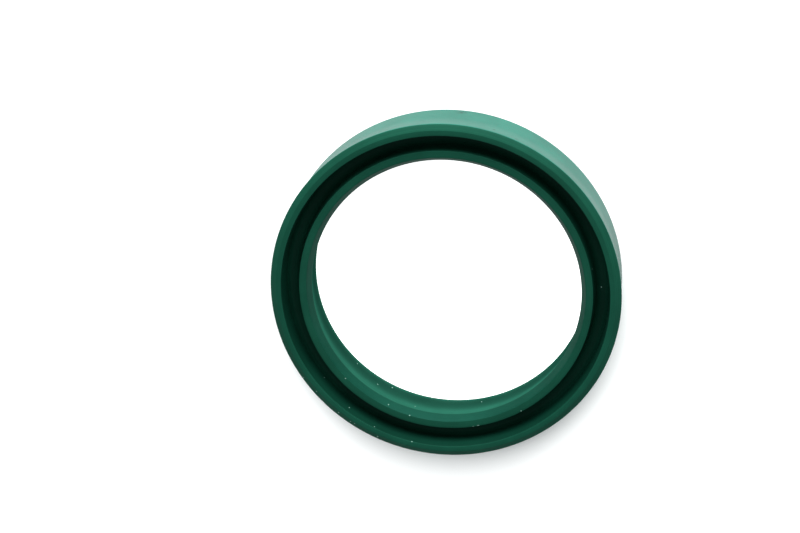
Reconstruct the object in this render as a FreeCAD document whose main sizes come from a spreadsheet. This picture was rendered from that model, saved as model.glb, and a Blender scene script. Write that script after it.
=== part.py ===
# Rod seal: a single-acting U-cup ring for a 40 mm rod in a 50 mm housing bore.
# One turned and moulded piece, lying on its heel with the lips up, axis on +Z,
# origin in the middle of the heel's flat face. All sizes are in millimetres.
import FreeCAD, Part
import os

import Sketcher

# Driving dimensions, one cell each: name and number
SIZES = [
    # The rod that the seal is made for, and the gap from it to the housing's bore
    ("rod_diameter", 40.0),
    ("radial_section", 5.0),
    ("rod_clearance", 0.15),
    ("housing_clearance", 0.02),
    # The ring over all
    ("seal_height", 9.4),
    ("heel_outer_chamfer", 0.3),
    ("heel_bore_chamfer", 0.4),
    ("heel_land_height", 1.6),
    # Outer lip, which rests in the housing
    ("outer_lip_squeeze", 0.3),
    ("outer_lip_length", 4.0),
    ("flare_rounding", 20.0),
    ("outer_bevel_drop", 0.5),
    ("outer_bevel_width", 0.84),
    ("outer_face_width", 0.78),
    ("outer_lip_root", 1.62),
    # Inner lip, which runs on the rod and stands lower than the outer one
    ("inner_lip_squeeze", 0.48),
    ("inner_lip_drop", 1.1),
    ("inner_bevel_drop", 1.2),
    ("inner_bevel_width", 0.67),
    ("inner_face_width", 1.02),
    ("inner_lip_root", 1.52),
    # Hollow of the bore behind the sealing edge
    ("relief_depth", 0.14),
    ("relief_height", 3.0),
    ("relief_rounding", 6.0),
    # U groove between the lips
    ("groove_depth", 4.0),
    ("groove_root_rounding", 0.72),
]

# How far the groove's cutting outline stands above the lips
CUTTER_RISE = 1.0

# Radius that an outline's corner arc starts from, before it follows the sheet
FIRST_ARC = 0.05

# Two places nearer than this are the same corner
SAME_PLACE = 1e-4

# Property that holds the amount of each edge feature
EDGE_AMOUNT = {"Fillet": "Radius", "Chamfer": "Size"}

HOUSING_BORE = "sizes.rod_diameter / 2 + sizes.radial_section"
HEEL_OUTER = f"{HOUSING_BORE} - sizes.housing_clearance"
HEEL_BORE = "sizes.rod_diameter / 2 + sizes.rod_clearance"
OUTER_LIP = f"{HOUSING_BORE} + sizes.outer_lip_squeeze"
INNER_LIP = "sizes.rod_diameter / 2 - sizes.inner_lip_squeeze"
OUTER_FACE = f"{OUTER_LIP} - sizes.outer_bevel_width"
INNER_FACE = f"{INNER_LIP} + sizes.inner_bevel_width"
MOUTH_OUTER = f"{OUTER_FACE} - sizes.outer_face_width"
MOUTH_INNER = f"{INNER_FACE} + sizes.inner_face_width"
ROOT_OUTER = f"{HEEL_OUTER} - sizes.outer_lip_root"
ROOT_INNER = f"{HEEL_BORE} + sizes.inner_lip_root"
INNER_TOP = "sizes.seal_height - sizes.inner_lip_drop"
GROOVE_FLOOR = "sizes.seal_height - sizes.groove_depth"

# Half section of the ring before its groove, corner by corner: name, radius, height
RING_OUTLINE = [
    ("heel_bore_corner", HEEL_BORE, "0"),
    ("heel_outer_corner", HEEL_OUTER, "0"),
    ("flare_start", HEEL_OUTER, "sizes.seal_height - sizes.outer_lip_length"),
    ("outer_lip_edge", OUTER_LIP, "sizes.seal_height - sizes.outer_bevel_drop"),
    ("outer_face_edge", OUTER_FACE, "sizes.seal_height"),
    ("step_top", f"({MOUTH_OUTER} + {MOUTH_INNER}) / 2", "sizes.seal_height"),
    ("step_foot", f"({MOUTH_OUTER} + {MOUTH_INNER}) / 2", INNER_TOP),
    ("inner_face_edge", INNER_FACE, INNER_TOP),
    ("sealing_edge", INNER_LIP, f"{INNER_TOP} - sizes.inner_bevel_drop"),
    ("relief_bottom", f"{HEEL_BORE} + sizes.relief_depth", "sizes.relief_height"),
    ("land_edge", HEEL_BORE, "sizes.heel_land_height"),
]

# Half section of the groove: its walls lean, and above the lips it stands straight
GROOVE_OUTLINE = [
    ("root_inner", ROOT_INNER, GROOVE_FLOOR),
    ("root_outer", ROOT_OUTER, GROOVE_FLOOR),
    ("mouth_outer", MOUTH_OUTER, "sizes.seal_height"),
    ("rise_outer", MOUTH_OUTER, f"sizes.seal_height + {CUTTER_RISE}"),
    ("rise_inner", MOUTH_INNER, f"sizes.seal_height + {CUTTER_RISE}"),
    ("mouth_inner", MOUTH_INNER, INNER_TOP),
]


def make_sheet(doc):
    """Puts the driving dimensions in a spreadsheet, a name and a number in each row."""
    sheet = doc.addObject("Spreadsheet::Sheet", "sizes")
    for row, (name, number) in enumerate(SIZES, start=1):
        sheet.set(f"A{row}", name)
        sheet.set(f"B{row}", str(number))
        sheet.setAlias(f"B{row}", name)
    doc.recompute()
    return sheet


def origin_plane(body, role):
    """Returns the body's own origin plane of that role."""
    return next(item for item in body.Origin.OriginFeatures if item.Role == role)


def add_outline(body, name, corners):
    """Draws a closed outline of straight edges whose corners follow the sheet."""
    sketch = body.newObject("Sketcher::SketchObject", name)
    sketch.AttachmentSupport = [(origin_plane(body, "XZ_Plane"), "")]
    sketch.MapMode = "FlatFace"
    count = len(corners)
    middle = FreeCAD.Vector(20.0, 5.0, 0.0)
    places = [middle + FreeCAD.Vector(index, index * index, 0.0) for index in range(count)]
    for index in range(count):
        start = places[index]
        end = places[(index + 1) % count]
        sketch.addGeometry(Part.LineSegment(start, end), False)
    for index in range(count):
        previous = (index - 1) % count
        sketch.addConstraint(Sketcher.Constraint("Coincident", previous, 2, index, 1))
    for index, (corner, radius, height) in enumerate(corners):
        place = places[index]
        across = sketch.addConstraint(Sketcher.Constraint("DistanceX", -1, 1, index, 1, place.x))
        sketch.renameConstraint(across, f"{corner}_radius")
        sketch.setExpression(f"Constraints.{corner}_radius", radius)
        if height == "0":
            sketch.addConstraint(Sketcher.Constraint("PointOnObject", index, 1, -1))
            continue
        up = sketch.addConstraint(Sketcher.Constraint("DistanceY", -1, 1, index, 1, place.y))
        sketch.renameConstraint(up, f"{corner}_height")
        sketch.setExpression(f"Constraints.{corner}_height", height)
    body.Document.recompute()
    return sketch


def round_corner(sketch, corners, name, radius):
    """Puts a tangent arc at an outline's corner, with a radius that follows the sheet."""
    index = [corner for corner, _, _ in corners].index(name)
    sketch.fillet(index, 1, FIRST_ARC, True, True)
    arc = next(number for number, item in enumerate(sketch.Geometry)
               if isinstance(item, Part.ArcOfCircle) and number not in rounded_arcs(sketch))
    bend = sketch.addConstraint(Sketcher.Constraint("Radius", arc, FIRST_ARC))
    sketch.renameConstraint(bend, f"{name}_rounding")
    sketch.setExpression(f"Constraints.{name}_rounding", radius)
    sketch.Document.recompute()


def rounded_arcs(sketch):
    """Lists the arcs of an outline whose radius is already set."""
    return [item.First for item in sketch.Constraints if item.Type == "Radius"]


def corner_place(sketch, corners, name):
    """Returns the radius and height that the solved outline gives a corner."""
    index = [corner for corner, _, _ in corners].index(name)
    point = sketch.getPoint(index, 1)
    return point.x, point.y


def ring_edges(shape, places):
    """Names the circular edges that lie at the given radii and heights."""
    names = []
    for radius, height in places:
        for number, edge in enumerate(shape.Edges, start=1):
            if not isinstance(edge.Curve, Part.Circle):
                continue
            miss = max(abs(edge.Curve.Radius - radius), abs(edge.Curve.Center.z - height))
            if miss < SAME_PLACE:
                names.append(f"Edge{number}")
    if len(names) != len(places):
        raise RuntimeError(f"found {len(names)} of {len(places)} edges to break")
    return names


def turn(body, kind, name, sketch):
    """Turns an outline all the way round the ring's axis, as solid or as cut."""
    feature = body.newObject(kind, name)
    feature.Profile = sketch
    feature.ReferenceAxis = (sketch, ["V_Axis"])
    feature.Angle = 360.0
    body.Document.recompute()
    return feature


def break_edges(body, kind, name, places, amount):
    """Rounds or chamfers the ring edges at these places, by an amount that follows the sheet."""
    base = body.Tip
    feature = body.newObject(f"PartDesign::{kind}", name)
    feature.Base = (base, ring_edges(base.Shape, places))
    feature.setExpression(EDGE_AMOUNT[kind], amount)
    body.Document.recompute()
    return feature


def make_seal(doc):
    """Builds the one-piece ring: turned blank, groove between the lips, broken heel edges."""
    body = doc.addObject("PartDesign::Body", "rod_seal")
    body.Label = "rod_seal"

    ring_sketch = add_outline(body, "ring_outline", RING_OUTLINE)
    round_corner(ring_sketch, RING_OUTLINE, "relief_bottom",
                 "min(sizes.relief_rounding; 4.5 * (sizes.relief_height - sizes.heel_land_height))")
    round_corner(ring_sketch, RING_OUTLINE, "flare_start", "sizes.flare_rounding")
    blank = turn(body, "PartDesign::Revolution", "ring_blank", ring_sketch)
    blank_volume = blank.Shape.Volume

    groove_sketch = add_outline(body, "groove_outline", GROOVE_OUTLINE)
    groove = turn(body, "PartDesign::Groove", "lip_groove", groove_sketch)
    if groove.Shape.Volume >= blank_volume:
        raise RuntimeError("the groove between the lips cuts nothing")

    roots = [corner_place(groove_sketch, GROOVE_OUTLINE, name)
             for name in ("root_inner", "root_outer")]
    break_edges(body, "Fillet", "groove_root", roots,
                f"min(sizes.groove_root_rounding; 0.45 * ({ROOT_OUTER} - ({ROOT_INNER})))")
    bore_corner = corner_place(ring_sketch, RING_OUTLINE, "heel_bore_corner")
    break_edges(body, "Chamfer", "heel_bore_edge", [bore_corner],
                "min(sizes.heel_bore_chamfer; 0.9 * sizes.heel_land_height)")
    outer_corner = corner_place(ring_sketch, RING_OUTLINE, "heel_outer_corner")
    break_edges(body, "Chamfer", "heel_outer_edge", [outer_corner], "sizes.heel_outer_chamfer")
    return body


def check(doc, bodies):
    """Stops with a plain message if a feature failed or a solid isn't sound."""
    for item in doc.Objects:
        if "Invalid" in item.State or "Error" in item.State:
            raise RuntimeError(f"{item.Name} failed: {item.State}")
    for body in bodies:
        shape = body.Shape
        if shape.isNull() or not shape.isValid() or len(shape.Solids) != 1:
            raise RuntimeError(f"{body.Label} isn't one sound solid")


def main():
    """Makes the document, checks it and writes one STEP file for each sub-part."""
    doc = FreeCAD.newDocument("rod_seal")
    make_sheet(doc)
    bodies = [make_seal(doc)]
    doc.recompute()
    check(doc, bodies)
    os.makedirs("parts", exist_ok=True)
    for body in bodies:
        body.Shape.exportStep(f"parts/{body.Label}.step")
        box = body.Shape.optimalBoundingBox()
        print(body.Label, "volume", round(body.Shape.Volume, 2), "length along X, Y and Z",
              [round(length, 3) for length in (box.XLength, box.YLength, box.ZLength)])


main()
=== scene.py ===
"""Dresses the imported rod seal.

It builds a finely turned ring, its polyurethane, a pale floor, soft light and the camera.
The ring is one moulded piece that lies on its heel with the lips up. Lengths are given in
millimetres and multiplied by MM where they reach Blender, which works in metres.
"""

import logging
import math
from dataclasses import dataclass
from enum import Enum
from typing import Iterable

import bmesh
import bpy
from mathutils import Matrix, Vector


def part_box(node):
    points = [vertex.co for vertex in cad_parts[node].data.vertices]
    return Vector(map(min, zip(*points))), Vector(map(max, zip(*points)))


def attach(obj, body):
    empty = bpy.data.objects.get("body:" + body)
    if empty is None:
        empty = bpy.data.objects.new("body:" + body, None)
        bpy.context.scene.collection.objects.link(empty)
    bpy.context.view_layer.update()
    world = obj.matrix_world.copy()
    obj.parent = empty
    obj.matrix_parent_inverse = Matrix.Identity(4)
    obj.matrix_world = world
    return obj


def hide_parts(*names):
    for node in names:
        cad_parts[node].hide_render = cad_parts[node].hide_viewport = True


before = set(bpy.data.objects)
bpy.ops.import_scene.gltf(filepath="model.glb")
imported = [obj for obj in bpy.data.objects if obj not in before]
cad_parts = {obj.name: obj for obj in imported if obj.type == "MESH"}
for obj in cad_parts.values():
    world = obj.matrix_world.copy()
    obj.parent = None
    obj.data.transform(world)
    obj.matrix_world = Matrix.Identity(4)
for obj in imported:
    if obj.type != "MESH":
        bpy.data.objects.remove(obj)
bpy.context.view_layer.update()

MM = 0.001
SEAL_NODE = "rod_seal"
SEAL_BODY = "root"

log = logging.getLogger("rod_seal")

Corner = tuple[float, float]
Corner3 = tuple[float, float, float]
Colour = tuple[float, float, float]


class Socket(Enum):
    """Kinds of socket that the shader groups use."""

    NUMBER = "NodeSocketFloat"
    VECTOR = "NodeSocketVector"


class Nodes:
    """Lays out and joins the nodes of one shader tree."""

    def __init__(self, tree: bpy.types.NodeTree) -> None:
        """Starts on a tree.

        Args:
            tree: The material's or group's node tree.
        """
        self.tree = tree

    def add(self, kind: str, label: str, **settings: object) -> bpy.types.Node:
        """Adds a node and sets its properties.

        Args:
            kind: The node's type name in Blender.
            label: What the node is for, in plain words.
            settings: Properties of the node and their values.

        Returns:
            The new node.
        """
        node = self.tree.nodes.new(kind)
        node.label = label
        for name, value in settings.items():
            setattr(node, name, value)
        return node

    def feed(self, node: bpy.types.Node, values: dict[str | int, object]) -> bpy.types.Node:
        """Sets a node's inputs from numbers, colours or other nodes' outputs.

        Args:
            node: The node whose inputs are set.
            values: Input name or number, with its number, colour or output socket.

        Returns:
            The same node.
        """
        for key, value in values.items():
            if isinstance(value, bpy.types.NodeSocket):
                self.tree.links.new(value, node.inputs[key])
            else:
                node.inputs[key].default_value = value
        return node

    def maths(self, operation: str, label: str, *values: object) -> bpy.types.NodeSocket:
        """Adds a maths step on numbers.

        Args:
            operation: The step's name in Blender, such as MULTIPLY.
            label: What the step is for.
            values: Numbers or output sockets, in the order of the inputs.

        Returns:
            The step's output socket.
        """
        node = self.add("ShaderNodeMath", label, operation=operation)
        self.feed(node, dict(enumerate(values)))
        return node.outputs[0]

    def vector_maths(self, operation: str, label: str, *values: object) -> bpy.types.Node:
        """Adds a maths step on vectors.

        Args:
            operation: The step's name in Blender, such as LENGTH.
            label: What the step is for.
            values: Vectors or output sockets, in the order of the inputs.

        Returns:
            The new node.
        """
        node = self.add("ShaderNodeVectorMath", label, operation=operation)
        return self.feed(node, dict(enumerate(values)))

    def ramp(self, label: str, factor: bpy.types.NodeSocket, low: float, high: float,
             out_low: float = 0.0, out_high: float = 1.0) -> bpy.types.NodeSocket:
        """Stretches a number smoothly from one span to another.

        Args:
            label: What the step is for.
            factor: The number to stretch.
            low: Where the span starts.
            high: Where the span ends.
            out_low: Result at the start.
            out_high: Result at the end.

        Returns:
            The stretched number's socket.
        """
        node = self.add("ShaderNodeMapRange", label, interpolation_type="SMOOTHSTEP")
        self.feed(node, {"Value": factor, "From Min": low, "From Max": high,
                         "To Min": out_low, "To Max": out_high})
        return node.outputs["Result"]

    def mix(self, label: str, factor: object, first: object, second: object,
            blend: str = "MIX") -> bpy.types.NodeSocket:
        """Mixes two colours.

        Args:
            label: What the mix is for.
            factor: How much of the second colour shows, a number or a socket.
            first: Colour or socket.
            second: Colour or socket.
            blend: The way of mixing.

        Returns:
            The mixed colour's socket.
        """
        node = self.add("ShaderNodeMix", label, data_type="RGBA", blend_type=blend)
        self.feed(node, {0: factor, 6: first, 7: second})
        return node.outputs[2]


@dataclass(frozen=True)
class SurfacePattern:
    """A pattern on the ring's surface: one shader group that every finish shares.

    The group takes the place on the surface and the named numbers, and puts out one number.
    """

    name: str
    numbers: tuple[str, ...] = ()
    result: str = "Mask"

    def group(self) -> bpy.types.NodeTree:
        """Gives the group, and builds it the first time.

        Returns:
            The node group.
        """
        known = bpy.data.node_groups.get(self.name)
        if known:
            return known
        tree = bpy.data.node_groups.new(self.name, "ShaderNodeTree")
        face = tree.interface
        face.new_socket("Place", in_out="INPUT", socket_type=Socket.VECTOR.value)
        for number in self.numbers:
            face.new_socket(number, in_out="INPUT", socket_type=Socket.NUMBER.value)
        face.new_socket(self.result, in_out="OUTPUT", socket_type=Socket.NUMBER.value)
        nodes = Nodes(tree)
        enter = nodes.add("NodeGroupInput", "in")
        leave = nodes.add("NodeGroupOutput", "out")
        nodes.feed(leave, {self.result: self.draw(nodes, enter)})
        return tree

    def draw(self, nodes: Nodes, enter: bpy.types.Node) -> bpy.types.NodeSocket:
        """Lays the pattern's own nodes.

        Args:
            nodes: The group's nodes.
            enter: The node that brings in the place and the numbers.

        Returns:
            The pattern's result.
        """
        raise NotImplementedError


@dataclass(frozen=True)
class TurnedLines(SurfacePattern):
    """Fine concentric lines that a turning tool or a turned mould leaves round the ring."""

    name: str = "turned_lines"
    numbers: tuple[str, ...] = ("Lines per metre",)
    result: str = "Height"
    drift_scale: float = 90.0
    faintest: float = 0.45

    def draw(self, nodes: Nodes, enter: bpy.types.Node) -> bpy.types.NodeSocket:
        """Draws lines that follow the section and fade in and out round the ring.

        Args:
            nodes: The group's nodes.
            enter: The node that brings in the place and the number of lines.

        Returns:
            The lines' height from 0 to 1.
        """
        split = nodes.add("ShaderNodeSeparateXYZ", "place by axis")
        nodes.feed(split, {0: enter.outputs["Place"]})
        flat = nodes.add("ShaderNodeCombineXYZ", "place seen along the axis")
        nodes.feed(flat, {0: split.outputs[0], 1: split.outputs[1]})
        radius = nodes.vector_maths("LENGTH", "radius", flat.outputs[0]).outputs["Value"]
        section = nodes.add("ShaderNodeCombineXYZ", "place on the section")
        nodes.feed(section, {0: radius, 1: split.outputs[2]})
        scaled = nodes.vector_maths("SCALE", "lines apart", section.outputs[0])
        nodes.feed(scaled, {"Scale": enter.outputs["Lines per metre"]})
        drift = nodes.add("ShaderNodeTexNoise", "lines fade round the ring", noise_dimensions="3D")
        nodes.feed(drift, {"Vector": enter.outputs["Place"], "Scale": self.drift_scale,
                           "Detail": 2.0})
        lines = nodes.add("ShaderNodeTexNoise", "lines", noise_dimensions="2D")
        nodes.feed(lines, {"Vector": scaled.outputs[0], "Scale": 1.0, "Detail": 3.0,
                           "Roughness": 0.6})
        fade = nodes.ramp("fading", drift.outputs["Fac"], 0.3, 0.7, self.faintest, 1.0)
        level = nodes.maths("SUBTRACT", "line about nought", lines.outputs["Fac"], 0.5)
        return nodes.maths("MULTIPLY_ADD", "faded line", level, fade, 0.5)


@dataclass(frozen=True)
class Mark:
    """A speck or smudge on the ring: its place and its size, in degrees and millimetres."""

    azimuth: float
    radius: float
    height: float
    size: float

    def place(self) -> Corner3:
        """Works out where the mark is.

        Returns:
            The mark's place in metres.
        """
        turn = math.radians(self.azimuth)
        return (self.radius * math.cos(turn) * MM, self.radius * math.sin(turn) * MM,
                self.height * MM)

    def spot(self, nodes: Nodes, enter: bpy.types.Node, core: float,
             edge: float) -> bpy.types.NodeSocket:
        """Draws the mark as a round spot with a soft edge.

        Args:
            nodes: The group's nodes.
            enter: The node that brings in the place.
            core: Radius of the full spot, in sizes of the mark.
            edge: Radius where the spot has faded out, in sizes of the mark.

        Returns:
            The spot's strength from 0 to 1.
        """
        away = nodes.vector_maths("DISTANCE", "distance from the mark",
                                  enter.outputs["Place"], self.place()).outputs["Value"]
        return nodes.ramp("soft spot", away, core * self.size * MM, edge * self.size * MM,
                          1.0, 0.0)


@dataclass(frozen=True)
class Dust(SurfacePattern):
    """Pale specks that lie on the surface: the larger ones in their places, fine ones anywhere."""

    name: str = "dust_specks"
    numbers: tuple[str, ...] = ("Share",)
    cells_per_metre: float = 900.0
    finest: float = 0.04
    coarsest: float = 0.09
    specks: tuple[Mark, ...] = (
        Mark(-60.4, 21.10, 8.30, 0.10), Mark(-79.0, 21.24, 8.27, 0.20),
        Mark(-81.0, 21.24, 8.27, 0.14), Mark(-78.8, 20.14, 1.85, 0.09),
        Mark(-118.4, 23.63, 9.04, 0.09), Mark(-142.2, 24.72, 9.26, 0.10),
        Mark(-131.6, 24.76, 9.23, 0.12), Mark(-129.5, 23.56, 8.10, 0.10),
        Mark(-143.1, 23.44, 6.56, 0.09), Mark(-107.4, 20.20, 8.30, 0.10),
        Mark(-117.3, 19.95, 7.90, 0.08), Mark(-124.6, 20.26, 2.94, 0.11),
        Mark(-136.5, 20.13, 1.60, 0.09), Mark(-118.2, 20.12, 1.56, 0.12),
        Mark(-138.6, 20.34, 8.30, 0.09), Mark(-115.9, 24.82, 9.19, 0.13),
        Mark(-126.5, 24.81, 9.20, 0.10), Mark(-125.0, 24.69, 9.27, 0.09),
        Mark(-148.6, 25.01, 9.09, 0.09), Mark(-104.0, 23.66, 9.38, 0.11),
    )

    def draw(self, nodes: Nodes, enter: bpy.types.Node) -> bpy.types.NodeSocket:
        """Scatters the fine specks and sets the larger ones in their places.

        Args:
            nodes: The group's nodes.
            enter: The node that brings in the place and the share of cells with a speck.

        Returns:
            The specks' mask from 0 to 1.
        """
        cells = nodes.add("ShaderNodeTexVoronoi", "a place for a speck in each cell",
                          voronoi_dimensions="3D", feature="F1")
        nodes.feed(cells, {"Vector": enter.outputs["Place"], "Scale": self.cells_per_metre})
        chance = nodes.add("ShaderNodeSeparateColor", "chance of a speck")
        nodes.feed(chance, {0: cells.outputs["Color"]})
        chosen = nodes.maths("LESS_THAN", "few cells hold one", chance.outputs[0],
                             enter.outputs["Share"])
        size = nodes.ramp("speck size", chance.outputs[1], 0.0, 1.0, self.finest, self.coarsest)
        inside = nodes.maths("LESS_THAN", "inside the speck", cells.outputs["Distance"], size)
        mask = nodes.maths("MULTIPLY", "fine speck", chosen, inside)
        for speck in self.specks:
            spot = speck.spot(nodes, enter, core=0.4, edge=1.3)
            mask = nodes.maths("MAXIMUM", "specks so far", mask, spot)
        return mask


@dataclass(frozen=True)
class Smudges(SurfacePattern):
    """Faint dark marks of handling on the outer wall, soft towards their edges."""

    name: str = "smudges"
    patches_per_metre: float = 2500.0
    faintest: float = 0.4
    marks: tuple[Mark, ...] = (
        Mark(83.9, 24.98, 1.50, 1.30), Mark(72.6, 24.98, 0.50, 0.55),
        Mark(71.8, 25.15, 7.20, 0.45), Mark(64.0, 25.20, 7.80, 0.50),
    )

    def draw(self, nodes: Nodes, enter: bpy.types.Node) -> bpy.types.NodeSocket:
        """Draws the patchy marks.

        Args:
            nodes: The group's nodes.
            enter: The node that brings in the place.

        Returns:
            The smudges' mask from 0 to 1.
        """
        uneven = nodes.add("ShaderNodeTexNoise", "uneven dirt")
        nodes.feed(uneven, {"Vector": enter.outputs["Place"], "Scale": self.patches_per_metre,
                            "Detail": 2.0})
        patchy = nodes.ramp("patchy", uneven.outputs["Fac"], 0.35, 0.65, self.faintest, 1.0)
        mask = 0.0
        for mark in self.marks:
            spot = mark.spot(nodes, enter, core=0.0, edge=1.0)
            mask = nodes.maths("MAXIMUM", "marks so far", spot, mask)
        return nodes.maths("MULTIPLY", "patchy marks", mask, patchy)


class Zone(Enum):
    """Faces of the ring that differ in finish, in the order of the ring's material slots."""

    SKIN = 0
    LIPS = 1
    GROOVE = 2
    BORE = 3
    BEVEL = 4


@dataclass(frozen=True)
class PolyurethaneFinish:
    """Dark green polyurethane with turned lines, a fine grain, a little dust and smudges.

    The colour is scaled by height as painted shade and painted light: from the factor below to the
    factor above between paler_from and paler_to, and from a painted highlight of rim strength on
    the heel's rim to plain between rim_from and rim_to, all heights in millimetres.
    """

    name: str
    green: Colour
    sheen_level: float
    roughness: float
    shine_tint: Colour = (1.0, 1.0, 1.0)
    cloudiness: float = 0.07
    cloud_scale: float = 160.0
    dust: Colour = (0.45, 0.80, 0.68)
    dust_share: float = 0.03
    smudge_depth: float = 0.55
    line_tone: float = 0.10
    bloom: float = 0.0
    bloom_roughness: float = 0.35
    paler_from: float = 0.0
    paler_to: float = 1.0
    tone_below: float = 1.0
    tone_above: float = 1.0
    rim_from: float = 0.5
    rim_to: float = 1.3
    rim_painted_highlight: float = 1.0
    roughness_spread: float = 0.05
    lines_per_metre: float = 9000.0
    line_depth: float = 0.004
    grain_scale: float = 6000.0
    grain_depth: float = 0.0015
    index: float = 1.5

    def material(self) -> bpy.types.Material:
        """Makes the material.

        Returns:
            The finished material.
        """
        material = bpy.data.materials.new(self.name)
        material.use_nodes = True
        nodes = Nodes(material.node_tree)
        shader = material.node_tree.nodes["Principled BSDF"]
        place = nodes.add("ShaderNodeTexCoord", "place").outputs["Object"]

        cloud = nodes.add("ShaderNodeTexNoise", "cloudy colour")
        nodes.feed(cloud, {"Vector": place, "Scale": self.cloud_scale, "Detail": 4.0,
                           "Roughness": 0.55})
        cloudy = nodes.ramp("cloudiness", cloud.outputs["Fac"], 0.35, 0.65)
        deep = tuple(part * (1.0 - self.cloudiness) for part in self.green)
        pale = tuple(part * (1.0 + self.cloudiness) for part in self.green)
        body = nodes.mix("body colour", cloudy, (*deep, 1.0), (*pale, 1.0))
        lines = nodes.add("ShaderNodeGroup", "turned lines", node_tree=TurnedLines().group())
        nodes.feed(lines, {"Place": place, "Lines per metre": self.lines_per_metre})
        tone = nodes.ramp("tone of the lines", lines.outputs["Height"], 0.25, 0.75,
                          1.0 - self.line_tone, 1.0 + self.line_tone)
        height = nodes.add("ShaderNodeSeparateXYZ", "place by axis")
        nodes.feed(height, {0: place})
        # Painted shade and painted light: the colour is darkened low down, paled higher up and
        # brightened at the heel's rim, standing in for how light falls in the bore.
        painted_by_height = nodes.ramp("painted light and shade by height", height.outputs[2], self.paler_from * MM,
                               self.paler_to * MM, self.tone_below, self.tone_above)
        rim = nodes.ramp("painted highlight on the heel's rim", height.outputs[2], self.rim_from * MM,
                         self.rim_to * MM, self.rim_painted_highlight, 1.0)
        shade = nodes.maths("MULTIPLY", "painted light and shade by height with the rim", painted_by_height, rim)
        smudges = nodes.add("ShaderNodeGroup", "smudges", node_tree=Smudges().group())
        nodes.feed(smudges, {"Place": place})
        clean = nodes.ramp("cleanness", smudges.outputs["Mask"], 0.0, 1.0,
                           1.0, 1.0 - self.smudge_depth)
        clean_shade = nodes.maths("MULTIPLY", "tone with the smudges", shade, clean)
        lined = nodes.vector_maths("SCALE", "lined colour", body)
        nodes.feed(lined, {"Scale": nodes.maths("MULTIPLY", "whole tone", tone, clean_shade)})
        dust = nodes.add("ShaderNodeGroup", "dust", node_tree=Dust().group())
        nodes.feed(dust, {"Place": place, "Share": self.dust_share})
        colour = nodes.mix("dusted colour", dust.outputs["Mask"], lined.outputs[0],
                           (*self.dust, 1.0))

        grain = nodes.add("ShaderNodeTexNoise", "grain")
        nodes.feed(grain, {"Vector": place, "Scale": self.grain_scale, "Detail": 2.0})
        line_bump = nodes.add("ShaderNodeBump", "line bump")
        nodes.feed(line_bump, {"Height": lines.outputs["Height"], "Strength": 1.0,
                               "Distance": self.line_depth * MM})
        bump = nodes.add("ShaderNodeBump", "grain bump")
        nodes.feed(bump, {"Height": grain.outputs["Fac"], "Strength": 1.0,
                          "Distance": self.grain_depth * MM, "Normal": line_bump.outputs[0]})

        streaks = nodes.ramp("gloss follows the lines", lines.outputs["Height"], 0.2, 0.8,
                             self.roughness - self.roughness_spread,
                             self.roughness + self.roughness_spread)
        nodes.feed(shader, {"Base Color": colour, "Roughness": streaks, "IOR": self.index,
                            "Specular IOR Level": self.sheen_level,
                            "Specular Tint": (*self.shine_tint, 1.0),
                            "Sheen Weight": self.bloom, "Sheen Roughness": self.bloom_roughness,
                            "Normal": bump.outputs[0]})
        return material


@dataclass(frozen=True)
class SealFinishes:
    """The finishes of the ring's zones.

    They are a glossy skin, duller cut lips, a groove, a bore without gloss, and the inner lip's
    satin bevel. All are one green polyurethane, but each zone's base colour carries painted light
    and
    shade: the skin is painted about four times brighter than the groove, whose dark green is
    painted shade, and the bore is painted darker low down and paler above, with a painted
    highlight on its rim.
    """

    # The skin's green is painted about four times brighter than the groove's: painted light on the
    # outer wall of one green polyurethane.
    skin: PolyurethaneFinish = PolyurethaneFinish(
        name="moulded_skin_painted_light", green=(0.0195, 0.296, 0.209), sheen_level=0.34, roughness=0.22,
        bloom=0.12)
    # The lips' and the bevel's greens are likewise set lighter or darker as painted light and
    # shade; the ring is one green throughout.
    lips: PolyurethaneFinish = PolyurethaneFinish(
        name="cut_lips", green=(0.0150, 0.134, 0.081), sheen_level=0.20, roughness=0.45,
        shine_tint=(0.35, 1.0, 0.75))
    # The groove's dark green is painted shade: the same polyurethane painted darker inside the
    # groove.
    groove: PolyurethaneFinish = PolyurethaneFinish(
        name="groove_painted_shade", green=(0.0064, 0.068, 0.041), sheen_level=0.10, roughness=0.45)
    # The bore's green is painted darker near the land and paler towards the sealing edge, with a
    # painted highlight on the heel's rim: painted shade and light, not a change in the
    # polyurethane.
    bore: PolyurethaneFinish = PolyurethaneFinish(
        name="dull_bore_painted_light_and_shade", green=(0.018, 0.112, 0.074), sheen_level=0.0, roughness=0.60,
        paler_from=2.0, paler_to=6.0, tone_below=0.70, tone_above=1.40, rim_painted_highlight=2.0)
    bevel: PolyurethaneFinish = PolyurethaneFinish(
        name="lip_bevel", green=(0.0045, 0.087, 0.052), sheen_level=0.38, roughness=0.50,
        shine_tint=(0.25, 1.0, 0.80))

    def by_zone(self) -> dict[Zone, PolyurethaneFinish]:
        """Gives each zone its finish.

        Returns:
            The finish of each zone.
        """
        return {Zone.SKIN: self.skin, Zone.LIPS: self.lips, Zone.GROOVE: self.groove,
                Zone.BORE: self.bore, Zone.BEVEL: self.bevel}


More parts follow.
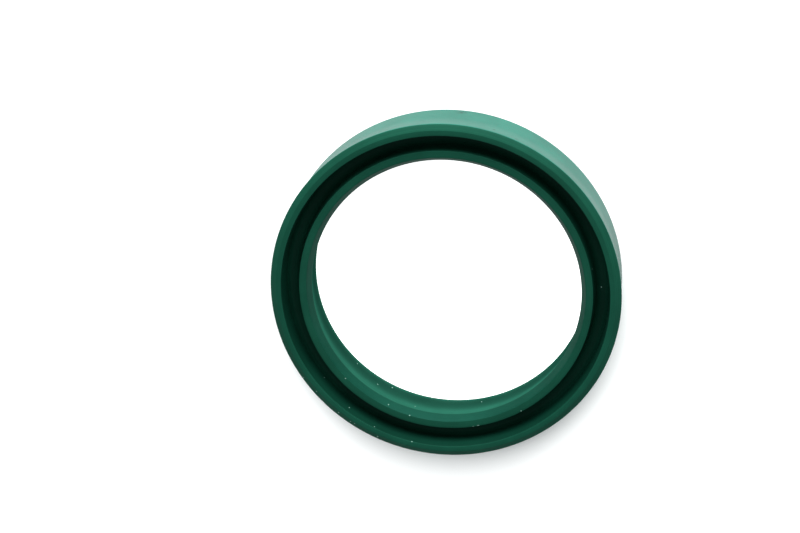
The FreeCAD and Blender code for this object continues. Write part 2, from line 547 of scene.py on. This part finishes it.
@dataclass
class RodSeal:
    """The one-piece U-cup ring: heel, outer lip, lower inner lip and the groove between them.

    Radii and heights are in millimetres. The outer lip's radius and the ring's height come
    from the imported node's box, and everything else hangs on them.
    """

    outer_lip: float
    height: float
    heel_bore: float = 20.15
    heel_outer: float = 24.98
    heel_bore_chamfer: float = 0.4
    heel_outer_chamfer: float = 0.3
    land_height: float = 1.6
    relief_depth: float = 0.14
    relief_height: float = 3.0
    relief_rounding: float = 6.0
    sealing_edge: float = 19.52
    inner_drop: float = 1.1
    inner_bevel_drop: float = 1.2
    inner_bevel_width: float = 0.67
    inner_face_width: float = 1.02
    inner_root: float = 1.52
    outer_root: float = 1.62
    groove_depth: float = 4.0
    root_rounding: float = 0.72
    outer_face_width: float = 0.78
    outer_bevel_width: float = 0.84
    outer_bevel_drop: float = 0.5
    outer_lip_length: float = 4.0
    flare_rounding: float = 20.0
    edge_softness: float = 0.07
    lip_corner_softness: float = 0.14
    heel_face_depth: float = 0.01
    steps_round: int = 288
    fewest_arc_steps: int = 3
    most_arc_steps: int = 12
    chord: float = 0.35
    same_place: float = 0.0001

    def corners(self) -> list[tuple[Corner, float]]:
        """Lists the section's corners, anticlockwise from the bore, with their roundings.

        Returns:
            Radius and height of each corner, and the radius of the arc there.
        """
        inner_top = self.height - self.inner_drop
        inner_face = self.sealing_edge + self.inner_bevel_width
        outer_face = self.outer_lip - self.outer_bevel_width
        floor = self.height - self.groove_depth
        soft = self.edge_softness
        return [
            ((self.heel_bore + self.heel_bore_chamfer, 0.0), soft),
            ((self.heel_outer - self.heel_outer_chamfer, 0.0), soft),
            ((self.heel_outer, self.heel_outer_chamfer), soft),
            ((self.heel_outer, self.height - self.outer_lip_length), self.flare_rounding),
            ((self.outer_lip, self.height - self.outer_bevel_drop),
             self.lip_corner_softness),
            ((outer_face, self.height), soft),
            ((outer_face - self.outer_face_width, self.height), soft),
            ((self.heel_outer - self.outer_root, floor), self.root_rounding),
            ((self.heel_bore + self.inner_root, floor), self.root_rounding),
            ((inner_face + self.inner_face_width, inner_top), soft),
            ((inner_face, inner_top), soft),
            ((self.sealing_edge, inner_top - self.inner_bevel_drop), soft),
            ((self.heel_bore + self.relief_depth, self.relief_height), self.relief_rounding),
            ((self.heel_bore, self.land_height), soft),
            ((self.heel_bore, self.heel_bore_chamfer), soft),
        ]

    def rounded_section(self, bm: bmesh.types.BMesh) -> list[bmesh.types.BMEdge]:
        """Draws the half section in the XZ plane with its arcs.

        Args:
            bm: The mesh to draw in.

        Returns:
            The section's edges.
        """
        corners = self.corners()
        verts = [bm.verts.new((radius * MM, 0.0, height * MM)) for (radius, height), _ in corners]
        bm.faces.new(verts)
        arcs = []
        for index, (_, rounding) in enumerate(corners):
            vert = verts[index]
            before = verts[index - 1].co - vert.co
            after = verts[(index + 1) % len(verts)].co - vert.co
            turn = math.pi - before.angle(after)
            steps = math.ceil(rounding * turn / self.chord)
            steps = max(self.fewest_arc_steps, min(self.most_arc_steps, steps))
            arcs.append((vert, rounding * MM * math.tan(turn / 2), steps))
        for vert, reach, steps in arcs:
            bmesh.ops.bevel(bm, geom=[vert], offset=reach, offset_type="OFFSET",
                            affect="VERTICES", segments=steps, profile=0.5, material=-1)
        return list(bm.edges)

    def zone(self, face: bmesh.types.BMFace) -> Zone:
        """Tells which zone of the ring a face belongs to.

        Args:
            face: A face of the spun ring.

        Returns:
            The face's zone.
        """
        middle = face.calc_center_median() / MM
        radius = middle.xy.length
        inner_bevel_end = self.sealing_edge + self.inner_bevel_width
        inner_flat_end = inner_bevel_end + self.inner_face_width
        outer_flat_end = self.outer_lip - self.outer_bevel_width - self.outer_face_width
        inner_edge = self.height - self.inner_drop - self.inner_bevel_drop
        if inner_flat_end < radius < outer_flat_end and middle.z > self.land_height:
            return Zone.GROOVE
        if radius <= inner_flat_end and middle.z > inner_edge:
            return Zone.LIPS if radius > inner_bevel_end else Zone.BEVEL
        if radius >= outer_flat_end and middle.z > self.height - self.outer_bevel_drop:
            return Zone.LIPS
        bore_end = self.heel_bore + self.heel_bore_chamfer
        if radius < bore_end and middle.z > self.heel_face_depth:
            return Zone.BORE
        return Zone.SKIN

    def mesh(self) -> bpy.types.Mesh:
        """Spins the section into the closed ring and marks each face's zone.

        Returns:
            The ring's mesh.
        """
        bm = bmesh.new()
        edges = self.rounded_section(bm)
        long_edges = [edge for edge in edges if edge.calc_length() > 2 * self.chord * MM]
        for edge in long_edges:
            cuts = math.ceil(edge.calc_length() / (self.chord * MM)) - 1
            bmesh.ops.subdivide_edges(bm, edges=[edge], cuts=cuts)
        bmesh.ops.delete(bm, geom=list(bm.faces), context="FACES_ONLY")
        bmesh.ops.spin(bm, geom=list(bm.edges), cent=(0.0, 0.0, 0.0), axis=(0.0, 0.0, 1.0),
                       angle=2 * math.pi, steps=self.steps_round, use_merge=True)
        bmesh.ops.remove_doubles(bm, verts=list(bm.verts), dist=self.same_place * MM)
        bmesh.ops.recalc_face_normals(bm, faces=list(bm.faces))
        for face in bm.faces:
            face.material_index = self.zone(face).value
        mesh = bpy.data.meshes.new("turned_rod_seal")
        bm.to_mesh(mesh)
        bm.free()
        mesh.shade_smooth()
        return mesh

    def build(self, finishes: SealFinishes) -> bpy.types.Object:
        """Makes the ring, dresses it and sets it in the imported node's place.

        Args:
            finishes: The finish of each zone.

        Returns:
            The ring.
        """
        ring = bpy.data.objects.new("turned_rod_seal", self.mesh())
        bpy.context.scene.collection.objects.link(ring)
        by_zone = finishes.by_zone()
        for zone in Zone:
            ring.data.materials.append(by_zone[zone].material())
        normals = ring.modifiers.new("even_normals", "WEIGHTED_NORMAL")
        normals.weight = 100
        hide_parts(SEAL_NODE)
        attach(ring, SEAL_BODY)
        return ring


@dataclass(frozen=True)
class StudioFloor:
    """A plain pale table.

    It looks brighter to the camera than the light that it throws on the ring. Within the ring
    it glows, between backlit_from and backlit_to in millimetres from the axis, but not in a
    reflection.
    """

    reach: float = 1.5
    seen_colour: Colour = (0.86, 0.87, 0.87)
    lit_colour: Colour = (0.32, 0.33, 0.33)
    roughness: float = 0.8
    seen_glow: float = 0.06
    backlit_from: float = 20.5
    backlit_to: float = 24.0
    backlight: float = 0.95

    def build(self) -> bpy.types.Object:
        """Makes the table's top, in the plane of the heel's face.

        Returns:
            The table.
        """
        bm = bmesh.new()
        bmesh.ops.create_grid(bm, x_segments=4, y_segments=4, size=self.reach)
        mesh = bpy.data.meshes.new("floor")
        bm.to_mesh(mesh)
        bm.free()
        floor = bpy.data.objects.new("floor", mesh)
        bpy.context.scene.collection.objects.link(floor)
        material = bpy.data.materials.new("pale_floor")
        material.use_nodes = True
        shader = material.node_tree.nodes["Principled BSDF"]
        nodes = Nodes(material.node_tree)
        light_path = nodes.add("ShaderNodeLightPath", "who looks at the table")
        seen = light_path.outputs["Is Camera Ray"]
        mirrored = light_path.outputs["Is Glossy Ray"]
        colour = nodes.mix("table colour", seen, (*self.lit_colour, 1.0), (*self.seen_colour, 1.0))
        place = nodes.add("ShaderNodeTexCoord", "place").outputs["Object"]
        distance = nodes.vector_maths("LENGTH", "distance from the axis", place).outputs["Value"]
        inside = nodes.ramp("inside the ring", distance, self.backlit_from * MM,
                            self.backlit_to * MM, 1.0, 0.0)
        seen_glow = nodes.maths("MAXIMUM", "glow to the camera", inside, self.seen_glow)
        unmirrored = nodes.maths("SUBTRACT", "no glow in a reflection", self.backlight,
                                 nodes.maths("MULTIPLY", "glow held back", mirrored,
                                             self.backlight))
        thrown_glow = nodes.maths("MULTIPLY", "glow to the ring", inside, unmirrored)
        glow = nodes.add("ShaderNodeMix", "glow", data_type="FLOAT")
        nodes.feed(glow, {0: seen, 2: thrown_glow, 3: seen_glow})
        nodes.feed(shader, {"Base Color": colour, "Roughness": self.roughness,
                            "Specular IOR Level": 0.0, "Emission Color": (1.0, 1.0, 1.0, 1.0),
                            "Emission Strength": glow.outputs[0]})
        floor.data.materials.append(material)
        return floor


@dataclass(frozen=True)
class Softbox:
    """One soft area light that faces the ring's middle: degrees, metres and watts."""

    name: str
    azimuth: float
    elevation: float
    distance: float
    width: float
    height: float
    power: float
    only_table: bool = False

    def build(self, aim: Vector, table: bpy.types.Object) -> bpy.types.Object:
        """Hangs the light.

        Args:
            aim: The point that the light faces, in metres.
            table: The table, which some lights light alone.

        Returns:
            The light.
        """
        data = bpy.data.lights.new(self.name, "AREA")
        data.shape = "RECTANGLE"
        data.size = self.width
        data.size_y = self.height
        data.energy = self.power
        light = bpy.data.objects.new(self.name, data)
        bpy.context.scene.collection.objects.link(light)
        if self.only_table:
            lit = bpy.data.collections.new("lit_by_" + self.name)
            lit.objects.link(table)
            light.light_linking.receiver_collection = lit
        turn = math.radians(self.azimuth)
        lift = math.radians(self.elevation)
        away = Vector((math.cos(lift) * math.cos(turn), math.cos(lift) * math.sin(turn),
                       math.sin(lift)))
        light.location = aim + away * self.distance
        light.rotation_euler = away.to_track_quat("Z", "Y").to_euler()
        return light


@dataclass(frozen=True)
class StudioLight:
    """One large softbox above the picture, a lamp for the table and the room's own light."""

    room: Colour = (0.95, 0.98, 1.0)
    room_strength: float = 0.25

    def softboxes(self) -> Iterable[Softbox]:
        """Lists the lights.

        Returns:
            The softbox over the ring and the table's lamp.
        """
        yield Softbox(name="overhead", azimuth=86.0, elevation=17.0, distance=0.60,
                      width=0.69, height=0.45, power=4.1)
        yield Softbox(name="table_lamp", azimuth=84.0, elevation=57.0, distance=0.80,
                      width=0.50, height=0.50, power=10.5, only_table=True)

    def build(self, aim: Vector, table: bpy.types.Object) -> None:
        """Hangs every light and sets the room's own light.

        Args:
            aim: The point that the lights face, in metres.
            table: The table.
        """
        for softbox in self.softboxes():
            light = softbox.build(aim, table)
            log.info("light %s", light.name)
        world = bpy.data.worlds.new("soft_room")
        world.use_nodes = True
        background = world.node_tree.nodes["Background"]
        background.inputs["Color"].default_value = (*self.room, 1.0)
        background.inputs["Strength"].default_value = self.room_strength
        bpy.context.scene.world = world
        bpy.context.scene.view_settings.view_transform = "Standard"


@dataclass(frozen=True)
class PhotoCamera:
    """The photograph's view: down on the lips, leaning so that the outer wall shows at the top."""

    lens: float = 89.3
    sensor: float = 36.0
    place: Corner3 = (36.70, 99.53, 272.27)
    aim: Corner3 = (-6.84, 2.72, 4.70)
    picture_up: Corner3 = (0.0, 0.9404, -0.3402)
    nearest: float = 1.0

    def build(self) -> bpy.types.Object:
        """Places the camera.

        Returns:
            The camera.
        """
        data = bpy.data.cameras.new("photo_camera")
        data.lens = self.lens
        data.sensor_width = self.sensor
        data.clip_start = self.nearest * MM
        camera = bpy.data.objects.new("photo_camera", data)
        bpy.context.scene.collection.objects.link(camera)
        place = Vector(self.place) * MM
        back = (place - Vector(self.aim) * MM).normalized()
        right = Vector(self.picture_up).cross(back).normalized()
        up = back.cross(right)
        turned = Matrix((right, up, back)).transposed()
        camera.matrix_world = Matrix.Translation(place) @ turned.to_4x4()
        bpy.context.scene.camera = camera
        return camera


def main() -> None:
    """Builds the ring, the floor, the light and the camera, in that order."""
    logging.basicConfig(level=logging.INFO, format="%(name)s: %(message)s")
    low, high = (Vector(corner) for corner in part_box(SEAL_NODE))
    seal = RodSeal(outer_lip=(high.x - low.x) / 2 / MM, height=(high.z - low.z) / MM)
    ring = seal.build(SealFinishes())
    log.info("ring %s: %d faces", ring.name, len(ring.data.polygons))
    floor = StudioFloor().build()
    log.info("floor %s", floor.name)
    StudioLight().build(aim=(low + high) / 2, table=floor)
    camera = PhotoCamera().build()
    log.info("camera %s", camera.name)


if __name__ == "__main__":
    main()
